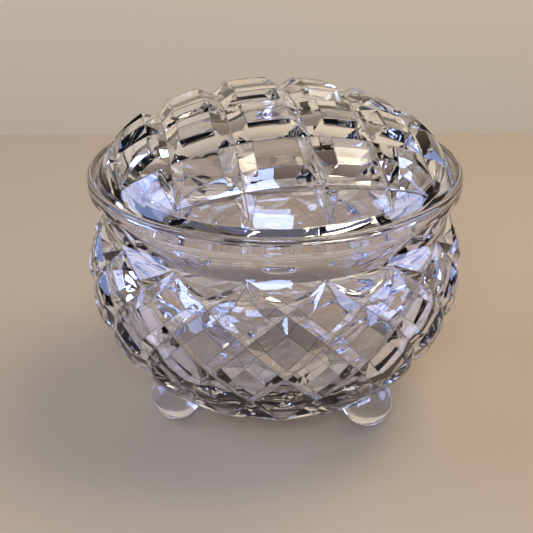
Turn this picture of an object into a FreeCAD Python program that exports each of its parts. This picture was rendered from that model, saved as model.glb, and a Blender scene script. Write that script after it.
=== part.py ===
import FreeCAD, Part
import math
import os

# Cut-glass powder jar: a round bowl on three ball feet, with a loose domed lid.
# Millimetres, +Z up, origin on the table under the centre of the bowl, -Y is the front.

# Bowl body: an egg-shaped barrel, widest at BELLY_Z, fuller above than below.
BELLY_RADIUS = 59.6
BELLY_Z = 51.0
UPPER_HALF_HEIGHT = 43.5
LOWER_HALF_HEIGHT = 50.0
BASE_RADIUS = 33.0
BASE_Z = 10.6

# Diamond lattice: two families of V-cuts that wind round the body and cross in level rows.
CUTS_AROUND = 16
LATTICE_TURN = 14.6
ROW_TOP_ANGLE = 23.7
ROW_STEP_ANGLE = 11.4
ROW_STEP_GROWTH = 0.6
ROW_COUNT = 5
CUT_DEPTH = 2.2
CUT_HALF_WIDTH = 0.25
CUT_RUN_OUT = 0.6

# Neck, lip and the ledge that carries the lid.
SEAM_INSET = 0.2
NECK_RADIUS = 52.9
NECK_Z = 73.2
LIP_RADIUS = 58.0
LIP_BOTTOM_Z = 78.6
LIP_TOP_Z = 83.0
LIP_INNER_RADIUS = 55.9
LEDGE_Z = 80.0
MOUTH_RADIUS = 45.5
MOUTH_BOTTOM_Z = 63.6

# Inside of the bowl.
CAVITY_RADIUS = 53.0
FLOOR_Z = 18.0
FLOOR_RADIUS = 28.0

# Ball feet, half sunk into the underside.
FOOT_RADIUS = 8.1
FOOT_REACH = 36.3
FOOT_FLAT = 0.25
FOOT_AZIMUTHS = {"foot_front_left": -63.0, "foot_front_right": 56.0, "foot_rear": 176.5}

# Lid: a spherical crown that rolls over into a steep shoulder above a flat flange, which
# rests on the ledge inside the lip. Crown, hollow and cuts share one far-off centre.
CROWN_CENTRE_Z = 17.0
CROWN_RADIUS = 90.0
CROWN_REACH = 41.0
HOLLOW_RADIUS = 81.5
HOLLOW_REACH = 37.0
HOLLOW_EDGE_RADIUS = 45.0
FLANGE_RADIUS = 54.6
FLANGE_EDGE_RADIUS = 55.1
FLANGE_EDGE_Z = 80.5

# Lid V-cuts, hand spaced. They lie on a sphere inside the crown, so each runs out on the
# shoulder: columns are parallels about the sideways axis, and rows are its meridians.
LID_CUT_RADIUS = 86.5
LID_CUT_SLOPE = 0.70
LID_CUT_REACH = 9.0
LID_CUT_SWEEP = 120.0
LID_COLUMN_ANGLES = [-34.4, -23.2, -10.7, 3.4, 16.1, 27.7]
LID_ROW_ANGLES = [-30.1, -17.3, -3.6, 9.6, 22.4, 34.8]
LID_TURN = 10.3


def vector(x, y, z):
    return FreeCAD.Vector(x, y, z)


def around(radius, height, azimuth):
    """A point at an azimuth in degrees, counted from the front towards +X."""
    turn = math.radians(azimuth)
    return vector(radius * math.sin(turn), -radius * math.cos(turn), height)


def line(start, end):
    return Part.makeLine(vector(start[0], 0, start[1]), vector(end[0], 0, end[1]))


def arc(start, middle, end):
    points = [vector(p[0], 0, p[1]) for p in (start, middle, end)]
    return Part.Arc(*points).toShape()


def spin(edges):
    """Turn a closed outline, drawn as radius and height, about the jar's axis."""
    outline = Part.Wire(edges)
    return Part.Face(outline).revolve(vector(0, 0, 0), vector(0, 0, 1), 360)


def row_angle(row):
    """Latitude of a lattice row; the rows open out towards the base."""
    return ROW_TOP_ANGLE - ROW_STEP_ANGLE * row - ROW_STEP_GROWTH * row * row


def barrel_point(latitude, azimuth, sunk):
    """A point on the barrel, sunk by a depth towards its centre."""
    angle = math.radians(latitude)
    half_height = UPPER_HALF_HEIGHT if latitude > 0 else LOWER_HALF_HEIGHT
    radius = (BELLY_RADIUS - sunk) * math.cos(angle)
    height = BELLY_Z + (half_height - sunk) * math.sin(angle)
    return around(radius, height, azimuth)


def vee(position):
    """Share of the full cut depth at a lattice position: 1 on a cut line, 0 on a cell top."""
    from_line = abs(position - round(position))
    return max(0.0, 1.0 - from_line / CUT_HALF_WIDTH)


def lattice_point(u, v):
    """A point of the cut surface; whole values of u and of v are the cut lines."""
    row = v - u
    azimuth = LATTICE_TURN + (u + v) / 2 * 360 / CUTS_AROUND
    run_out = min(1.0, row / CUT_RUN_OUT, (ROW_COUNT - row) / CUT_RUN_OUT)
    sunk = CUT_DEPTH * max(0.0, run_out) * max(vee(u), vee(v))
    return barrel_point(row_angle(row), azimuth, sunk)


def lattice_triangles():
    """Corner points of every facet of the cut zone, as triangles seen from outside."""
    steps = [0.0, CUT_HALF_WIDTH, 0.5, 1.0 - CUT_HALF_WIDTH, 1.0]
    triangles = []
    for cell_u in range(CUTS_AROUND):
        for cell_v in range(cell_u, cell_u + ROW_COUNT + 1):
            for i in range(4):
                for j in range(4):
                    triangles += patch(cell_u, cell_v, steps, i, j)
    return triangles


def patch(cell_u, cell_v, steps, i, j):
    """The two triangles of one lattice patch, left out where they leave the cut zone."""
    u0, u1 = cell_u + steps[i], cell_u + steps[i + 1]
    v0, v1 = cell_v + steps[j], cell_v + steps[j + 1]
    opposite_sides = {i, j} == {0, 3}
    if opposite_sides:
        pair = [[(u0, v0), (u1, v0), (u0, v1)], [(u1, v0), (u1, v1), (u0, v1)]]
    else:
        pair = [[(u0, v0), (u1, v0), (u1, v1)], [(u0, v0), (u1, v1), (u0, v1)]]
    return [corners for corners in pair if inside_zone(corners)]


def inside_zone(corners):
    rows = [v - u for u, v in corners]
    return min(rows) > -0.001 and max(rows) < ROW_COUNT + 0.001


def rim_polygon(row):
    """The level outline that closes the cut zone at its first or last row."""
    steps = [0.0, CUT_HALF_WIDTH, 0.5, 1.0 - CUT_HALF_WIDTH]
    points = [lattice_point(n + s, n + s + row) for n in range(CUTS_AROUND) for s in steps]
    return Part.Face(Part.makePolygon(points + points[:1]))


def cut_zone():
    """The barrel between the first and last rows, with every V-cut facet flat."""
    faces = [rim_polygon(0), rim_polygon(ROW_COUNT)]
    for corners in lattice_triangles():
        points = [lattice_point(u, v) for u, v in corners]
        faces.append(Part.Face(Part.makePolygon(points + points[:1])))
    shell = Part.makeShell(faces)
    shell.sewShape()
    solid = Part.Solid(shell)
    if solid.Volume < 0:
        solid.reverse()
    return solid


def top_block():
    """Shoulder, neck and lip, still solid glass right through."""
    start = barrel_point(row_angle(0), 0, 0)
    radius, height = -start.y - SEAM_INSET, start.z
    return spin([
        line((0, height), (radius, height)),
        arc((radius, height), (53.4, 70.6), (NECK_RADIUS, NECK_Z)),
        arc((NECK_RADIUS, NECK_Z), (53.4, 75.6), (54.9, 77.0)),
        arc((54.9, 77.0), (56.2, 77.75), (57.6, 78.1)),
        line((57.6, 78.1), (LIP_RADIUS, LIP_BOTTOM_Z)),
        line((LIP_RADIUS, LIP_BOTTOM_Z), (LIP_RADIUS, LIP_TOP_Z - 1.0)),
        arc((LIP_RADIUS, LIP_TOP_Z - 1.0), (56.95, LIP_TOP_Z), (LIP_INNER_RADIUS, LIP_TOP_Z - 1.0)),
        line((LIP_INNER_RADIUS, LIP_TOP_Z - 1.0), (0, LIP_TOP_Z - 1.0)),
        line((0, LIP_TOP_Z - 1.0), (0, height)),
    ])


def bottom_block():
    """The plain underside below the last row of cuts."""
    start = barrel_point(row_angle(ROW_COUNT), 0, 0)
    radius, height = -start.y - SEAM_INSET, start.z
    return spin([
        line((0, height), (radius, height)),
        arc((radius, height), (36.6, 11.8), (BASE_RADIUS, BASE_Z)),
        line((BASE_RADIUS, BASE_Z), (0, BASE_Z)),
        line((0, BASE_Z), (0, height)),
    ])


def cavity():
    """Everything hollow: the powder space, the mouth and the lid's seat inside the lip."""
    above = LIP_TOP_Z + 5
    return spin([
        line((0, FLOOR_Z), (FLOOR_RADIUS, FLOOR_Z + 0.6)),
        arc((FLOOR_RADIUS, FLOOR_Z + 0.6), (46.5, 30.5), (CAVITY_RADIUS, BELLY_Z)),
        arc((CAVITY_RADIUS, BELLY_Z), (51.1, 58.0), (MOUTH_RADIUS, MOUTH_BOTTOM_Z)),
        line((MOUTH_RADIUS, MOUTH_BOTTOM_Z), (MOUTH_RADIUS, LEDGE_Z)),
        line((MOUTH_RADIUS, LEDGE_Z), (LIP_INNER_RADIUS, LEDGE_Z)),
        line((LIP_INNER_RADIUS, LEDGE_Z), (LIP_INNER_RADIUS, above)),
        line((LIP_INNER_RADIUS, above), (0, above)),
        line((0, above), (0, FLOOR_Z)),
    ])


def outer_form():
    """The bowl's outside with nothing hollowed out."""
    return cut_zone().fuse([top_block(), bottom_block()])


def foot(azimuth, bowl_outside):
    """One ball of glass under the bowl, with a small flat ground where it stands."""
    ball = Part.makeSphere(FOOT_RADIUS, around(FOOT_REACH, FOOT_RADIUS - FOOT_FLAT, azimuth))
    table = Part.makeBox(200, 200, 10, vector(-100, -100, -10))
    return ball.cut(table).cut(bowl_outside)


def domed(radius, reach, end):
    """Outline from the rim point up to the axis: a shoulder arc tangent to a crown arc."""
    tilt = math.asin(reach / radius)
    along, up = math.sin(tilt), math.cos(tilt)
    crown_edge = (reach, CROWN_CENTRE_Z + radius * up)
    middle = (radius * math.sin(tilt / 2), CROWN_CENTRE_Z + radius * math.cos(tilt / 2))
    gap = (crown_edge[0] - end[0], crown_edge[1] - end[1])
    bend = (gap[0] ** 2 + gap[1] ** 2) / (2 * (gap[0] * along + gap[1] * up))
    centre = (crown_edge[0] - bend * along, crown_edge[1] - bend * up)
    end_turn = math.atan2(end[0] - centre[0], end[1] - centre[1])
    half_turn = (tilt + end_turn) / 2
    bulge = (centre[0] + bend * math.sin(half_turn), centre[1] + bend * math.cos(half_turn))
    return [arc(end, bulge, crown_edge), arc(crown_edge, middle, (0, CROWN_CENTRE_Z + radius))]


def lid_blank():
    """The uncut lid: a dome with a flat flange and a hollow underside."""
    edge = (FLANGE_EDGE_RADIUS, FLANGE_EDGE_Z)
    outside = domed(CROWN_RADIUS, CROWN_REACH, edge)
    solid = spin([
        line((0, LEDGE_Z), (FLANGE_RADIUS, LEDGE_Z)),
        line((FLANGE_RADIUS, LEDGE_Z), edge),
        *outside,
        line((0, CROWN_CENTRE_Z + CROWN_RADIUS), (0, LEDGE_Z)),
    ])
    hollow = spin([
        line((0, LEDGE_Z), (HOLLOW_EDGE_RADIUS, LEDGE_Z)),
        *domed(HOLLOW_RADIUS, HOLLOW_REACH, (HOLLOW_EDGE_RADIUS, LEDGE_Z)),
        line((0, CROWN_CENTRE_Z + HOLLOW_RADIUS), (0, LEDGE_Z)),
    ])
    return solid.cut(hollow)


def lid_cutter(lean, is_column):
    """One wheel cut: a V swung over the lid about the crown's centre."""
    half_width = LID_CUT_REACH / LID_CUT_SLOPE
    reach = LID_CUT_RADIUS + LID_CUT_REACH
    corners = [
        vector(0, 0, LID_CUT_RADIUS),
        vector(half_width, 0, reach),
        vector(-half_width, 0, reach),
    ]
    across, along, up = vector(1, 0, 0), vector(0, 1, 0), vector(0, 0, 1)
    centre = vector(0, 0, 0)
    wheel = Part.Face(Part.makePolygon(corners + corners[:1]))
    if is_column:
        wheel.rotate(centre, along, lean)
    wheel.rotate(centre, across, -LID_CUT_SWEEP / 2)
    cutter = wheel.revolve(centre, across, LID_CUT_SWEEP)
    if not is_column:
        cutter.rotate(centre, along, lean)
        cutter.rotate(centre, up, 90)
    cutter.rotate(centre, up, LID_TURN)
    cutter.translate(vector(0, 0, CROWN_CENTRE_Z))
    return cutter


def lid():
    shape = lid_blank()
    for angle in LID_COLUMN_ANGLES:
        shape = shape.cut(lid_cutter(angle, True))
    for angle in LID_ROW_ANGLES:
        shape = shape.cut(lid_cutter(angle, False))
    return shape


def main():
    outside = outer_form()
    nodes = {"bowl": outside.cut(cavity()), "lid": lid()}
    for name, azimuth in FOOT_AZIMUTHS.items():
        nodes[name] = foot(azimuth, outside)
    os.makedirs("parts", exist_ok=True)
    for name, shape in nodes.items():
        shape.exportStep("parts/" + name + ".step")


main()
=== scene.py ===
import math

import bpy
from mathutils import Matrix, Vector, geometry


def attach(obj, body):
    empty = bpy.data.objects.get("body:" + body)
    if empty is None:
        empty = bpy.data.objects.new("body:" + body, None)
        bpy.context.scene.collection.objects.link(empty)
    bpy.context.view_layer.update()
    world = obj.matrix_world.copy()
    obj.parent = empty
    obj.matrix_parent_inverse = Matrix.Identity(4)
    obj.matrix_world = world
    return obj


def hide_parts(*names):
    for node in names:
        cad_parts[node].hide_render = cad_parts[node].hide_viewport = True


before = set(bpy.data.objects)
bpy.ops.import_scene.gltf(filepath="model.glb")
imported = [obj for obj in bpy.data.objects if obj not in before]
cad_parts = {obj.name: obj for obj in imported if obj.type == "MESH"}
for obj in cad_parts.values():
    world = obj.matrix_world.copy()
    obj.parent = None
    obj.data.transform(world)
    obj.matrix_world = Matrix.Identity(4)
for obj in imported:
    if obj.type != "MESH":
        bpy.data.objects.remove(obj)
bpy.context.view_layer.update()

# Cut-glass powder jar. Shapes are worked out in millimetres and stored in metres.
MM = 0.001
CREASE_ANGLE = 38.0

# Bowl body: an egg-shaped barrel, widest at BELLY_Z.
BELLY_RADIUS = 59.6
BELLY_Z = 51.0
UPPER_HALF_HEIGHT = 43.5
LOWER_HALF_HEIGHT = 50.0
BASE_RADIUS = 33.0
BASE_Z = 10.6
BASE_HUB_RADIUS = 6.0
UNDERSIDE_MIDDLE = (36.6, 11.8)

# Diamond lattice: V-cuts wind round both ways and cross in level rows.
CUTS_AROUND = 16
LATTICE_TURN = 14.6
ROW_TOP_ANGLE = 23.7
ROW_STEP_ANGLE = 11.4
ROW_STEP_GROWTH = 0.6
ROW_COUNT = 5
CUT_DEPTH = 2.2
CUT_HALF_WIDTH = 0.25
CUT_SOFTNESS = 0.012
TOP_RUN_OUT = 0.8
BOTTOM_RUN_OUT = 0.7
LEAST_SHARE = 0.12

# Neck and lip. Pairs are outline points, as radius and height.
SHOULDER_MIDDLE = (53.5, 70.6)
NECK = (52.9, 73.2)
FLARE_MIDDLE = (53.4, 75.6)
FLARE_END = (54.9, 77.0)
LIP_UNDERSIDE_MIDDLE = (56.2, 77.75)
LIP_UNDERSIDE_END = (57.5, 78.08)
LIP_CORNER = (57.9, 78.2)
LIP_RADIUS = 58.0
LIP_BOTTOM_Z = 78.7
LIP_TOP_Z = 83.0
LIP_TOP_RADIUS = 56.95
LIP_ROUNDING = 1.05
LIP_INNER_RADIUS = 55.9

# Ledge, mouth and the inside of the bowl.
LEDGE_Z = 80.0
LEDGE_FILLET = 0.25
MOUTH_RADIUS = 45.5
MOUTH_ROUNDING = 0.4
MOUTH_BOTTOM_Z = 63.6
VAULT_MIDDLE = (51.1, 58.0)
CAVITY_RADIUS = 53.0
WALL_MIDDLE = (46.5, 30.5)
FLOOR_Z = 18.0
FLOOR_RADIUS = 28.0
FLOOR_EDGE_RISE = 0.6
DISH_RADIUS = 18.0
DISH_RISE = 0.08
DISH_FLAT_RADIUS = 8.0

# Ball feet.
FOOT_RADIUS = 8.1
FOOT_REACH = 36.3
FOOT_FLAT = 0.25
FOOT_OVERLAP = 0.05
FOOT_SEGMENTS = 72
FOOT_AZIMUTHS = {"foot_front_left": -63.0, "foot_front_right": 56.0, "foot_rear": 176.5}

# Lid: crown, hollow and cuts share one centre far below. The columns of cuts are parallels
# about the sideways axis, and the rows are its meridians.
CROWN_CENTRE_Z = 17.0
CROWN_RADIUS = 90.0
CROWN_REACH = 41.0
HOLLOW_RADIUS = 81.5
HOLLOW_REACH = 37.0
HOLLOW_EDGE_RADIUS = 45.0
FLANGE_RADIUS = 54.6
FLANGE_EDGE_RADIUS = 55.1
FLANGE_EDGE_Z = 80.5
FLANGE_SIDE = 0.3
FLANGE_ROUNDING = 0.4
SEAT_GAP = 0.05
LID_CUT_RADIUS = 86.5
LID_CUT_SLOPE = 0.70
LID_CUT_SOFTNESS = 0.0022
LID_CUT_WIDEST = 0.3
LID_COLUMN_ANGLES = [-34.4, -23.2, -10.7, 3.4, 16.1, 27.7]
LID_ROW_ANGLES = [-30.1, -17.3, -3.6, 9.6, 22.4, 34.8]
LID_TURN = 10.3
LID_SEGMENTS = 192
LID_STEP_ANGLE = 3.0
LID_EDGE_ANGLE = 40.0
LID_CUT_LIMIT = 0.80
LID_RIM_MARGIN = 0.012
LINES_PER_CUT = 8


def around(radius, height, azimuth):
    """A point in millimetres; azimuth in degrees from the front towards +X."""
    turn = math.radians(azimuth)
    return (radius * math.sin(turn), -radius * math.cos(turn), height)


def straight(start, end, count):
    """Points of a straight outline run, without its first point."""
    shares = [(n + 1) / count for n in range(count)]
    return [tuple(a + (b - a) * s for a, b in zip(start, end)) for s in shares]


def circle_through(start, middle, end):
    """Centre and radius of the circle through three outline points."""
    a, b, c = (Vector(p) for p in (start, middle, end))
    ab, ac = b - a, c - a
    twice_area = 2 * (ab.x * ac.y - ab.y * ac.x)
    across = Vector((
        ac.y * ab.dot(ab) - ab.y * ac.dot(ac),
        ab.x * ac.dot(ac) - ac.x * ab.dot(ab),
    ))
    centre = a + across / twice_area
    return centre, (a - centre).length


def arc(start, middle, end, count):
    """Points of an outline arc through three points, without its first point."""
    centre, radius = circle_through(start, middle, end)
    angles = [math.atan2(p[1] - centre.y, p[0] - centre.x) for p in (start, middle, end)]
    sweep = (angles[2] - angles[0]) % (2 * math.pi)
    if (angles[1] - angles[0]) % (2 * math.pi) > sweep:
        sweep -= 2 * math.pi
    turns = [angles[0] + sweep * (n + 1) / count for n in range(count)]
    return [(centre.x + radius * math.cos(t), centre.y + radius * math.sin(t)) for t in turns]


def corner(point, before, after, count):
    """A small rounding of an outline corner, between a point before it and one after it."""
    middle = tuple((2 * p + b + a) / 4 for p, b, a in zip(point, before, after))
    return arc(before, middle, after, count)


class Skin:
    """Collects the points and faces of one closed glass skin."""

    def __init__(self):
        self.points = []
        self.faces = []
        self.edge_faces = set()

    def add_ring(self, ring):
        first = len(self.points)
        self.points.extend(ring)
        return list(range(first, first + len(ring)))

    def stitch(self, lower, upper):
        """Quads between two rings, facing outwards when the second lies above the first."""
        count = len(lower)
        for n in range(count):
            m = (n + 1) % count
            self.faces.append((lower[n], lower[m], upper[m], upper[n]))

    def lathe(self, ring, azimuths, outline, upwards):
        """Carry a ring along an outline of radius and height; returns the last ring."""
        for radius, height in outline:
            following = self.add_ring([around(radius, height, azimuth) for azimuth in azimuths])
            if upwards:
                self.stitch(ring, following)
            else:
                self.stitch(following, ring)
            ring = following
        return ring

    def cap(self, ring, centre, facing_up):
        """Close a ring with a fan about its centre."""
        hub = len(self.points)
        self.points.append(centre)
        count = len(ring)
        for n in range(count):
            m = (n + 1) % count
            self.faces.append((ring[n], ring[m], hub) if facing_up else (ring[m], ring[n], hub))

    def build(self, name):
        """Make the object, smooth except where faces meet at more than the crease angle."""
        mesh = bpy.data.meshes.new(name)
        mesh.from_pydata([Vector(p) * MM for p in self.points], [], self.faces)
        arris = mesh.attributes.new("arris", "FLOAT", "FACE")
        for number in self.edge_faces:
            arris.data[number].value = 1.0
        mesh.shade_smooth()
        mesh.set_sharp_from_angle(angle=math.radians(CREASE_ANGLE))
        piece = bpy.data.objects.new(name, mesh)
        bpy.context.scene.collection.objects.link(piece)
        weighted = piece.modifiers.new("Even facets", "WEIGHTED_NORMAL")
        weighted.keep_sharp = True
        return piece


# ---- Bowl -------------------------------------------------------------------------------

def lattice_steps():
    """Grid lines of one lattice cell, with narrow strips at each V's bottom and edges."""
    soft, half = CUT_SOFTNESS, CUT_HALF_WIDTH
    side = [soft, half / 2, half - soft, half + soft, (half + 0.5) / 2]
    return side + [0.5] + [1 - s for s in reversed(side)]


STEPS = lattice_steps()
CELL = len(STEPS)
AROUND = CUTS_AROUND * CELL
LEVELS = ROW_COUNT * CELL
# The strips along a V's two edges and its bottom, as steps of a cell.
EDGE_STEPS = (2, CELL - 4, CELL - 1)


def row_angle(row):
    return ROW_TOP_ANGLE - ROW_STEP_ANGLE * row - ROW_STEP_GROWTH * row * row


def run_out(row):
    """Share of the full cut depth; it fades to nothing at both ends of a cut."""
    return max(0.0, min(1.0, row / TOP_RUN_OUT, (ROW_COUNT - row) / BOTTOM_RUN_OUT))


def squeezed(place, share):
    """Move a grid line so that it stays on the V's edge where the V is narrower."""
    cell = math.floor(place)
    part = place - cell
    mirrored = part > 0.5
    if mirrored:
        part = 1 - part
    narrow = CUT_HALF_WIDTH * max(share, LEAST_SHARE)
    if part <= CUT_HALF_WIDTH:
        part *= narrow / CUT_HALF_WIDTH
    else:
        part = narrow + (part - CUT_HALF_WIDTH) * (0.5 - narrow) / (0.5 - CUT_HALF_WIDTH)
    return cell + (1 - part if mirrored else part)


def barrel_point(latitude, azimuth, sunk):
    """A point on the barrel, sunk by a depth towards its centre."""
    angle = math.radians(latitude)
    half_height = UPPER_HALF_HEIGHT if latitude > 0 else LOWER_HALF_HEIGHT
    radius = (BELLY_RADIUS - sunk) * math.cos(angle)
    return around(radius, BELLY_Z + (half_height - sunk) * math.sin(angle), azimuth)


def lattice_point(u_index, v_index):
    """A point of the cut surface where two grid lines cross."""
    even_u = u_index // CELL + STEPS[u_index % CELL]
    even_v = v_index // CELL + STEPS[v_index % CELL]
    u, v = even_u, even_v
    for _ in range(4):
        share = run_out(v - u)
        u, v = squeezed(even_u, share), squeezed(even_v, share)
    share = run_out(v - u)
    from_line = min(abs(u - round(u)), abs(v - round(v)))
    sunk = CUT_DEPTH * max(0.0, share - from_line / CUT_HALF_WIDTH)
    azimuth = LATTICE_TURN + (u + v) / 2 * 360 / CUTS_AROUND
    return barrel_point(row_angle(v - u), azimuth, sunk)


def lattice_faces(rings, level, n):
    """Faces of the patch whose left corner is on this level, clipped to the cut zone."""
    m = (n + 1) % AROUND
    left, right = rings[level][n], rings[level][m]
    if level == 0:
        return [(left, rings[1][n], right)]
    if level == LEVELS:
        return [(left, right, rings[level - 1][m])]
    low, high = rings[level + 1][n], rings[level - 1][m]
    on_ridge = n % CELL + (n + level) % CELL == CELL - 2
    if on_ridge:
        return [(left, low, high), (low, right, high)]
    return [(left, low, right), (left, right, high)]


def lip_outline():
    """Outline from the shoulder up over the neck and the lip to the ledge."""
    barrel_top = barrel_point(row_angle(0), 0, 0)
    start = (-barrel_top[1], barrel_top[2])
    lip_bottom = (LIP_RADIUS, LIP_BOTTOM_Z)
    lip_outside = (LIP_RADIUS, LIP_TOP_Z - LIP_ROUNDING)
    lip_inside = (LIP_INNER_RADIUS, LIP_TOP_Z - LIP_ROUNDING)
    ledge_corner = (LIP_INNER_RADIUS, LEDGE_Z)
    above_ledge = (LIP_INNER_RADIUS, LEDGE_Z + LEDGE_FILLET)
    ledge_outside = (LIP_INNER_RADIUS - LEDGE_FILLET, LEDGE_Z)
    ledge_inside = (MOUTH_RADIUS + MOUTH_ROUNDING, LEDGE_Z)
    mouth_top = (MOUTH_RADIUS, LEDGE_Z - MOUTH_ROUNDING)
    return (
        arc(start, SHOULDER_MIDDLE, NECK, 8)
        + arc(NECK, FLARE_MIDDLE, FLARE_END, 8)
        + arc(FLARE_END, LIP_UNDERSIDE_MIDDLE, LIP_UNDERSIDE_END, 6)
        + corner(LIP_CORNER, LIP_UNDERSIDE_END, lip_bottom, 4)
        + straight(lip_bottom, lip_outside, 3)
        + arc(lip_outside, (LIP_TOP_RADIUS, LIP_TOP_Z), lip_inside, 14)
        + straight(lip_inside, above_ledge, 2)
        + corner(ledge_corner, above_ledge, ledge_outside, 3)
        + straight(ledge_outside, ledge_inside, 3)
        + corner((MOUTH_RADIUS, LEDGE_Z), ledge_inside, mouth_top, 4)
    )


def inside_outline():
    """Outline from the ledge down the mouth and the wall to the floor."""
    mouth_top = (MOUTH_RADIUS, LEDGE_Z - MOUTH_ROUNDING)
    mouth_bottom = (MOUTH_RADIUS, MOUTH_BOTTOM_Z)
    widest = (CAVITY_RADIUS, BELLY_Z)
    floor_edge = (FLOOR_RADIUS, FLOOR_Z + FLOOR_EDGE_RISE)
    return (
        straight(mouth_top, mouth_bottom, 3)
        + arc(mouth_bottom, VAULT_MIDDLE, widest, 14)
        + arc(widest, WALL_MIDDLE, floor_edge, 24)
        + arc(floor_edge, (DISH_RADIUS, FLOOR_Z + DISH_RISE), (DISH_FLAT_RADIUS, FLOOR_Z), 6)
    )


def underside_arc():
    """The three outline points of the curve under the last row of cuts."""
    edge = barrel_point(row_angle(ROW_COUNT), 0, 0)
    return (-edge[1], edge[2]), UNDERSIDE_MIDDLE, (BASE_RADIUS, BASE_Z)


def make_bowl():
    skin = Skin()
    rings = []
    for level in range(LEVELS + 1):
        rings.append(skin.add_ring([lattice_point(n, n + level) for n in range(AROUND)]))
    for level in range(LEVELS + 1):
        for n in range(AROUND):
            patch = lattice_faces(rings, level, n)
            if n % CELL in EDGE_STEPS or (n + level) % CELL in EDGE_STEPS:
                first = len(skin.faces)
                skin.edge_faces.update(range(first, first + len(patch)))
            skin.faces += patch
    even = [LATTICE_TURN + 360 * (n + 0.5) / AROUND for n in range(AROUND)]
    floor_ring = skin.lathe(rings[0], even, lip_outline() + inside_outline(), True)
    skin.cap(floor_ring, (0, 0, FLOOR_Z), True)
    base = straight((BASE_RADIUS, BASE_Z), (BASE_HUB_RADIUS, BASE_Z), 5)
    under = arc(*underside_arc(), 12) + base
    even_low = [azimuth + ROW_COUNT * 180 / CUTS_AROUND for azimuth in even]
    base_ring = skin.lathe(rings[LEVELS], even_low, under, False)
    skin.cap(base_ring, (0, 0, BASE_Z), False)
    return skin.build("bowl_cut_glass")


# ---- Feet -------------------------------------------------------------------------------

def underside_height(radius):
    """Height of the bowl's underside, without its cuts, at a distance from the axis."""
    start, middle, end = underside_arc()
    if radius <= BASE_RADIUS:
        return BASE_Z
    if radius >= start[0]:
        return BELLY_Z - LOWER_HALF_HEIGHT * math.sqrt(1 - (radius / BELLY_RADIUS) ** 2)
    centre, bend = circle_through(start, middle, end)
    return centre.y - math.sqrt(bend * bend - (radius - centre.x) ** 2)


def ball_point(centre, turn, lift):
    """A point of the ball; lift is its angle up from the lowest point."""
    out = FOOT_RADIUS * math.sin(lift)
    x = centre.x + out * math.cos(turn)
    y = centre.y + out * math.sin(turn)
    return Vector((x, y, centre.z - FOOT_RADIUS * math.cos(lift)))


def ball_top(centre, turn):
    """How far up the ball goes at this turn before it meets the bowl."""
    low, high = math.radians(60), math.radians(178)
    for _ in range(40):
        middle = (low + high) / 2
        point = ball_point(centre, turn, middle)
        room = underside_height(point.xy.length) + FOOT_OVERLAP - point.z
        low, high = (middle, high) if room > 0 else (low, middle)
    return low


def make_foot(name, azimuth):
    """A ball of glass with a small flat ground under it, shaped to the bowl above."""
    centre = Vector(around(FOOT_REACH, FOOT_RADIUS - FOOT_FLAT, azimuth))
    turns = [2 * math.pi * n / FOOT_SEGMENTS for n in range(FOOT_SEGMENTS)]
    tops = [ball_top(centre, turn) for turn in turns]
    first_lift = math.acos((FOOT_RADIUS - FOOT_FLAT) / FOOT_RADIUS)
    side_count, top_count = 36, 8
    skin = Skin()
    rings = []
    for step in range(side_count + 1):
        lifts = [first_lift + (top - first_lift) * step / side_count for top in tops]
        spots = [ball_point(centre, turn, lift) for turn, lift in zip(turns, lifts)]
        rings.append(skin.add_ring([tuple(spot) for spot in spots]))
    for step in range(1, top_count):
        inwards = [spot.lerp(centre, step / top_count) for spot in spots]
        rings.append(skin.add_ring([
            (spot.x, spot.y, underside_height(spot.xy.length) + FOOT_OVERLAP) for spot in inwards
        ]))
    for lower, upper in zip(rings, rings[1:]):
        skin.stitch(lower, upper)
    skin.cap(rings[0], (centre.x, centre.y, 0.0), False)
    top = underside_height(centre.xy.length) + FOOT_OVERLAP
    skin.cap(rings[-1], (centre.x, centre.y, top), True)
    return skin.build(name + "_glass")


# ---- Lid --------------------------------------------------------------------------------

def shoulder(radius, reach, end):
    """Centre and radius of the arc that leaves the crown tangentially and meets the end."""
    tilt = math.asin(reach / radius)
    outwards = Vector((math.sin(tilt), math.cos(tilt)))
    crown_edge = Vector((0, CROWN_CENTRE_Z)) + outwards * radius
    gap = crown_edge - Vector(end)
    bend = gap.dot(gap) / (2 * gap.dot(outwards))
    return crown_edge - outwards * bend, bend


FLANGE_EDGE = (FLANGE_EDGE_RADIUS, FLANGE_EDGE_Z)
OUTER_SHOULDER, OUTER_BEND = shoulder(CROWN_RADIUS, CROWN_REACH, FLANGE_EDGE)
INNER_SHOULDER, INNER_BEND = shoulder(HOLLOW_RADIUS, HOLLOW_REACH, (HOLLOW_EDGE_RADIUS, LEDGE_Z))


def dome_distance(direction):
    """Distance from the crown's centre to the uncut dome."""
    out = direction.xy.length
    if out <= CROWN_REACH / CROWN_RADIUS:
        return CROWN_RADIUS
    centre = OUTER_SHOULDER - Vector((0, CROWN_CENTRE_Z))
    along = centre.dot(Vector((out, direction.z)))
    return along + math.sqrt(OUTER_BEND ** 2 - centre.dot(centre) + along * along)


def cut_distance(side):
    """Distance from the crown's centre to a V-cut, by the sine of the angle off its middle."""
    side = abs(side)
    if side > LID_CUT_WIDEST:
        return 2 * CROWN_RADIUS
    return LID_CUT_RADIUS / (math.sqrt(1 - side * side) - LID_CUT_SLOPE * side)


def cut_reach(distance):
    """Sine of the angle off a cut's middle at which its V comes up to a given distance."""
    ratio = LID_CUT_RADIUS / distance
    square = 1 + LID_CUT_SLOPE ** 2
    reach = (math.sqrt(max(0.0, square - ratio * ratio)) - LID_CUT_SLOPE * ratio) / square
    return max(reach, 4 * LID_CUT_SOFTNESS)


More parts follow.
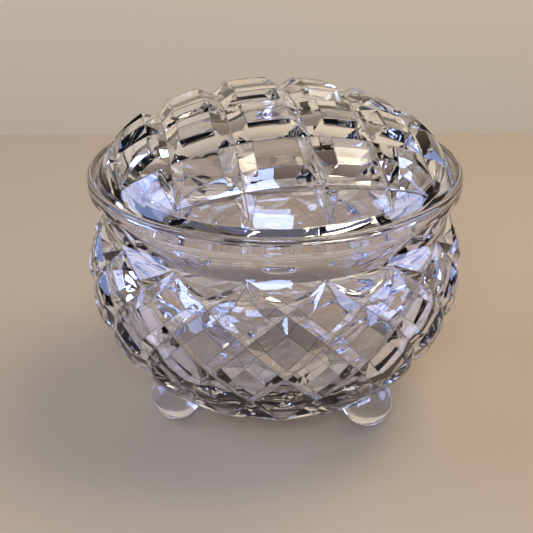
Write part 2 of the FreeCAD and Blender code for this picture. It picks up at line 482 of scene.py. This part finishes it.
def cut_sides(direction):
    """Sine of the angle of a direction off each cut's middle."""
    for angle in LID_COLUMN_ANGLES:
        yield math.sin(math.asin(direction.x) - math.radians(angle))
    for angle in LID_ROW_ANGLES:
        lean = math.radians(angle)
        yield direction.y * math.cos(lean) - direction.z * math.sin(lean)


def lid_point(direction):
    """The point of the cut lid's top along a unit direction from the crown's centre."""
    cuts = [cut_distance(side) for side in cut_sides(direction)]
    distance = min(dome_distance(direction), *cuts)
    turned = Matrix.Rotation(math.radians(LID_TURN), 3, "Z") @ (direction * distance)
    return (turned.x, turned.y, turned.z + CROWN_CENTRE_Z)


def on_arris(direction):
    """Whether a direction meets the narrow strip along a cut's bottom or its edges."""
    nearest = min(abs(side) for side in cut_sides(direction))
    from_edge = abs(nearest - cut_reach(dome_distance(direction)))
    return min(nearest, from_edge) < LID_CUT_SOFTNESS


def grid_lines(angles):
    """Lines across the lid, each (lean, fixed, share): it lies fixed + share * V off its lean.

    Also gives the place in the list of each cut's first line."""
    soft = LID_CUT_SOFTNESS
    half = [(soft, 0.0), (0.0, 0.5), (-soft, 1.0), (soft, 1.0)]
    stops = [-LID_EDGE_ANGLE] + angles + [LID_EDGE_ANGLE]
    lines, firsts = [], []
    for start, end in zip(stops, stops[1:]):
        if start in angles:
            firsts.append(len(lines))
            lines += [(start, -fixed, -share) for fixed, share in reversed(half)]
            lines += [(start, fixed, share) for fixed, share in half]
        count = max(2, round((end - start) / LID_STEP_ANGLE))
        for n in range(1, count):
            t = n / count
            pull = (1 - t) * (start in angles) - t * (end in angles)
            lines.append((start + t * (end - start), pull * soft, pull))
    return lines, firsts


def crossing(column, row):
    """Unit direction in which a column line and a row line meet."""
    reach = cut_reach(CROWN_RADIUS)
    lean = math.radians(row[0])
    for _ in range(6):
        x = math.sin(math.radians(column[0]) + math.asin(column[1] + column[2] * reach))
        off = (row[1] + row[2] * reach) / math.cos(lean)
        a = 1 + math.tan(lean) ** 2
        b = off * math.tan(lean)
        z = (math.sqrt(b * b - a * (off * off + x * x - 1)) - b) / a
        direction = Vector((x, off + math.tan(lean) * z, z))
        reach = cut_reach(dome_distance(direction))
    return direction


def lid_plan():
    """Points and constraint edges of the cut top, flattened from the crown's centre."""
    azimuths = [360 * n / LID_SEGMENTS for n in range(LID_SEGMENTS)]
    points = [Vector(around(LID_CUT_LIMIT, 0, azimuth - LID_TURN)[:2]) for azimuth in azimuths]
    edges = [(n, (n + 1) % LID_SEGMENTS) for n in range(LID_SEGMENTS)]
    columns, column_firsts = grid_lines(LID_COLUMN_ANGLES)
    rows, row_firsts = grid_lines(LID_ROW_ANGLES)
    number = {}
    for i, column in enumerate(columns):
        for j, row in enumerate(rows):
            direction = crossing(column, row)
            spot = direction.xy / direction.z
            if spot.length < LID_CUT_LIMIT - LID_RIM_MARGIN:
                number[i, j] = len(points)
                points.append(spot)
    pairs = [((i, j), (i + 1, j)) for i, j in number] + [((i, j), (i, j + 1)) for i, j in number]
    last = LINES_PER_CUT - 1
    for i in column_firsts:
        for j in row_firsts:
            pairs += [((i + n, j + n), (i + n + 1, j + n + 1)) for n in range(last)]
            pairs += [((i + n, j + last - n), (i + n + 1, j + last - n - 1)) for n in range(last)]
    edges += [(number[a], number[b]) for a, b in pairs if a in number and b in number]
    return points, edges, azimuths


def flange_outline():
    """Outline from the edge of the cut top down over the flange and in to the hollow."""
    edge = Vector((LID_CUT_LIMIT, 1)).normalized()
    start = edge * dome_distance(Vector((edge.x, 0, edge.y))) + Vector((0, CROWN_CENTRE_Z))
    rim = (FLANGE_EDGE_RADIUS, FLANGE_EDGE_Z + FLANGE_SIDE)
    halfway = (start + Vector(rim)) / 2 - OUTER_SHOULDER
    bulge = OUTER_SHOULDER + halfway.normalized() * OUTER_BEND
    seat = LEDGE_Z + SEAT_GAP
    inner = HOLLOW_EDGE_RADIUS
    return (
        arc(tuple(start), tuple(bulge), rim, 6)
        + corner((FLANGE_EDGE_RADIUS, seat), rim, (FLANGE_RADIUS, seat), 5)
        + straight((FLANGE_RADIUS, seat), (inner + FLANGE_ROUNDING, seat), 5)
        + corner((inner, seat), (inner + FLANGE_ROUNDING, seat), (inner, seat + FLANGE_ROUNDING), 4)
    )


def hollow_outline():
    """Outline from the flange up the inside of the dome, almost to the axis."""
    tilt = math.asin(HOLLOW_REACH / HOLLOW_RADIUS)
    foot = (HOLLOW_EDGE_RADIUS, LEDGE_Z + SEAT_GAP + FLANGE_ROUNDING)
    angles = [tilt * (1 - n / 20) for n in range(20)]
    crown = [(HOLLOW_RADIUS * math.sin(a), CROWN_CENTRE_Z + HOLLOW_RADIUS * math.cos(a))
             for a in angles]
    halfway = (Vector(foot) + Vector(crown[0])) / 2 - INNER_SHOULDER
    bulge = INNER_SHOULDER + halfway.normalized() * INNER_BEND
    return arc(foot, tuple(bulge), crown[0], 12) + crown[1:]


def make_lid():
    spots, edges, azimuths = lid_plan()
    flat, _, faces, sources, _, _ = geometry.delaunay_2d_cdt(spots, edges, [], 0, 1e-7)
    skin = Skin()
    skin.points = [lid_point(Vector((spot.x, spot.y, 1)).normalized()) for spot in flat]
    skin.faces = [tuple(face) for face in faces]
    for number, face in enumerate(skin.faces):
        middle = sum((flat[n] for n in face), Vector((0, 0))) / 3
        if on_arris(Vector((middle.x, middle.y, 1)).normalized()):
            skin.edge_faces.add(number)
    place = {origin: number for number, origins in enumerate(sources) for origin in origins}
    rim = [place[n] for n in range(LID_SEGMENTS)]
    last = skin.lathe(rim, azimuths, flange_outline() + hollow_outline(), False)
    skin.cap(last, (0, 0, CROWN_CENTRE_Z + HOLLOW_RADIUS), False)
    return skin.build("lid_cut_glass")


# ---- Glass ------------------------------------------------------------------------------

# Painted shade along the bottom and the edges of every cut: their colour is darkened there, and
# their ground finish is rougher.
CUT_PAINTED_SHADE = (0.42, 0.45, 0.56, 1)
ARRIS_ROUGHNESS = 0.12


def crystal(name, tint, ripple):
    """Clear polished glass with faint ripples, a few scuffs and a breath of colour.

    The strips along the cuts get painted shade, a darker colour, and a rougher ground finish from
    the skin's arris attribute."""
    material = bpy.data.materials.new(name)
    material.use_nodes = True
    nodes, links = material.node_tree.nodes, material.node_tree.links
    shader = nodes["Principled BSDF"]
    shader.inputs["Transmission Weight"].default_value = 1.0
    shader.inputs["IOR"].default_value = 1.53
    place = nodes.new("ShaderNodeTexCoord")

    cloud = nodes.new("ShaderNodeTexNoise")
    cloud.inputs["Scale"].default_value = 40.0
    cloud.inputs["Detail"].default_value = 3.0
    links.new(place.outputs["Object"], cloud.inputs["Vector"])
    colour = nodes.new("ShaderNodeValToRGB")
    colour.color_ramp.elements[0].position = 0.3
    colour.color_ramp.elements[0].color = (*tint, 1)
    colour.color_ramp.elements[1].position = 0.7
    colour.color_ramp.elements[1].color = (1, 1, 1, 1)
    links.new(cloud.outputs["Fac"], colour.inputs["Fac"])
    arris = nodes.new("ShaderNodeAttribute")
    arris.attribute_name = "arris"
    # Painted shade: the colour on the strips along the cuts is darkened.
    painted_shade_mix = nodes.new("ShaderNodeMixRGB")
    links.new(arris.outputs["Fac"], painted_shade_mix.inputs["Fac"])
    links.new(colour.outputs["Color"], painted_shade_mix.inputs["Color1"])
    painted_shade_mix.inputs["Color2"].default_value = CUT_PAINTED_SHADE
    links.new(painted_shade_mix.outputs["Color"], shader.inputs["Base Color"])

    scuff = nodes.new("ShaderNodeTexNoise")
    scuff.inputs["Scale"].default_value = 900.0
    scuff.inputs["Detail"].default_value = 3.0
    links.new(place.outputs["Object"], scuff.inputs["Vector"])
    rough = nodes.new("ShaderNodeMapRange")
    rough.inputs["From Min"].default_value = 0.55
    rough.inputs["From Max"].default_value = 0.85
    rough.inputs["To Min"].default_value = 0.0
    rough.inputs["To Max"].default_value = 0.04
    links.new(scuff.outputs["Fac"], rough.inputs["Value"])
    worn = nodes.new("ShaderNodeMix")
    links.new(arris.outputs["Fac"], worn.inputs["Factor"])
    links.new(rough.outputs["Result"], worn.inputs["A"])
    worn.inputs["B"].default_value = ARRIS_ROUGHNESS
    links.new(worn.outputs["Result"], shader.inputs["Roughness"])

    wave = nodes.new("ShaderNodeTexNoise")
    wave.inputs["Scale"].default_value = 120.0
    wave.inputs["Detail"].default_value = 1.0
    links.new(place.outputs["Object"], wave.inputs["Vector"])
    bump = nodes.new("ShaderNodeBump")
    bump.inputs["Strength"].default_value = ripple
    bump.inputs["Distance"].default_value = 0.0004
    links.new(wave.outputs["Fac"], bump.inputs["Height"])
    links.new(bump.outputs["Normal"], shader.inputs["Normal"])
    return material


# ---- Setting ----------------------------------------------------------------------------

# Each light is a name, a place, a size in metres, a power in watts and a colour.
LIGHTS = [
    ("window_left", (-0.80, 0.00, 0.40), (0.60, 0.50), 7, (0.40, 0.52, 1.0)),
    ("window_right", (0.80, 0.00, 0.35), (0.50, 0.40), 5, (0.44, 0.55, 1.0)),
    ("window_front", (-0.05, -0.80, 0.65), (0.45, 0.25), 8, (0.45, 0.58, 1.0)),
    ("lamp_above", (0.30, 0.05, 0.75), (0.45, 0.35), 3, (1.0, 0.86, 0.62)),
]
LIGHT_TARGET = (0, 0, 0.05)

# The room's light from straight down, 0, to straight up, 1.
ROOM_BANDS = [
    (0.48, (0.12, 0.06, 0.03, 1)),
    (0.58, (0.20, 0.12, 0.08, 1)),
    (0.72, (0.24, 0.28, 0.50, 1)),
    (0.95, (0.16, 0.16, 0.20, 1)),
]
ROOM_STRENGTH = 0.7

CAMERA_PLACE = (0, -0.2943, 0.1909)
CAMERA_DOWN = 26.08
CAMERA_YAW = 0.52
CAMERA_ROLL = -0.21
CAMERA_LENS = 67.54
CAMERA_SENSOR = 36.0


def plain_sheet(name, corners, colour):
    """A plain matt floor or backdrop; not part of the object."""
    mesh = bpy.data.meshes.new(name)
    mesh.from_pydata(corners, [], [(0, 1, 2, 3)])
    sheet = bpy.data.objects.new(name, mesh)
    bpy.context.scene.collection.objects.link(sheet)
    material = bpy.data.materials.new(name + "_paint")
    material.use_nodes = True
    shader = material.node_tree.nodes["Principled BSDF"]
    shader.inputs["Base Color"].default_value = (*colour, 1)
    shader.inputs["Roughness"].default_value = 0.55
    mesh.materials.append(material)


def make_stage():
    """A pale floor, and a plain cream wall far enough behind it to look at the jar's back."""
    side, front, back = 1.2, -1.6, 0.275
    floor = [(-side, front, 0), (side, front, 0), (side, back, 0), (-side, back, 0)]
    plain_sheet("floor", floor, (0.46, 0.34, 0.19))
    reach, wall, low, top = 2.7, 0.62, -0.3, 2.0
    backdrop = [(-reach, wall, low), (reach, wall, low), (reach, wall, top), (-reach, wall, top)]
    plain_sheet("backdrop", backdrop, (0.95, 0.73, 0.37))


def make_light(name, place, size, power, colour):
    """A rectangular soft light that faces the jar."""
    data = bpy.data.lights.new(name, "AREA")
    data.shape = "RECTANGLE"
    data.size, data.size_y = size
    data.energy = power
    data.color = colour
    light = bpy.data.objects.new(name, data)
    light.location = place
    towards = Vector(LIGHT_TARGET) - Vector(place)
    light.rotation_euler = towards.to_track_quat("-Z", "Y").to_euler()
    bpy.context.scene.collection.objects.link(light)


def make_world():
    """Soft room light: dim and warm low down, pale and cool above."""
    world = bpy.data.worlds.new("room")
    bpy.context.scene.world = world
    world.use_nodes = True
    nodes, links = world.node_tree.nodes, world.node_tree.links
    background = nodes["Background"]
    place = nodes.new("ShaderNodeTexCoord")
    split = nodes.new("ShaderNodeSeparateXYZ")
    links.new(place.outputs["Generated"], split.inputs["Vector"])
    spread = nodes.new("ShaderNodeMapRange")
    spread.inputs["From Min"].default_value = -1.0
    links.new(split.outputs["Z"], spread.inputs["Value"])
    ramp = nodes.new("ShaderNodeValToRGB")
    bands = ramp.color_ramp.elements
    bands[0].position, bands[0].color = ROOM_BANDS[0]
    bands[1].position, bands[1].color = ROOM_BANDS[-1]
    for position, colour in ROOM_BANDS[1:-1]:
        bands.new(position).color = colour
    links.new(spread.outputs["Result"], ramp.inputs["Fac"])
    links.new(ramp.outputs["Color"], background.inputs["Color"])
    background.inputs["Strength"].default_value = ROOM_STRENGTH


def make_camera():
    """The camera looks down at the jar's front from about 0.35 m away."""
    data = bpy.data.cameras.new("camera")
    data.sensor_width = CAMERA_SENSOR
    data.lens = CAMERA_LENS
    camera = bpy.data.objects.new("camera", data)
    yaw = Matrix.Rotation(math.radians(CAMERA_YAW), 4, "Z")
    pitch = Matrix.Rotation(math.radians(90 - CAMERA_DOWN), 4, "X")
    roll = Matrix.Rotation(math.radians(CAMERA_ROLL), 4, "Z")
    camera.matrix_world = Matrix.Translation(CAMERA_PLACE) @ yaw @ pitch @ roll
    bpy.context.scene.collection.objects.link(camera)
    bpy.context.scene.camera = camera


def main():
    make_camera()
    glass = {
        "bowl_glass": crystal("bowl_crystal", (0.86, 0.88, 0.98), 0.02),
        "foot_glass": crystal("foot_crystal", (0.86, 0.89, 1.0), 0.08),
        "lid_glass": crystal("lid_crystal", (0.92, 0.94, 0.99), 0.015),
    }
    pieces = [(make_bowl(), "bowl", "bowl_body", "bowl_glass")]
    for node, azimuth in FOOT_AZIMUTHS.items():
        pieces.append((make_foot(node, azimuth), node, "bowl_body", "foot_glass"))
    pieces.append((make_lid(), "lid", "lid_body", "lid_glass"))
    for piece, node, body, slot in pieces:
        piece.data.materials.append(glass[slot])
        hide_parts(node)
        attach(piece, body)
    make_stage()
    make_world()
    for light in LIGHTS:
        make_light(*light)
    bpy.context.scene.view_settings.view_transform = "Standard"


main()
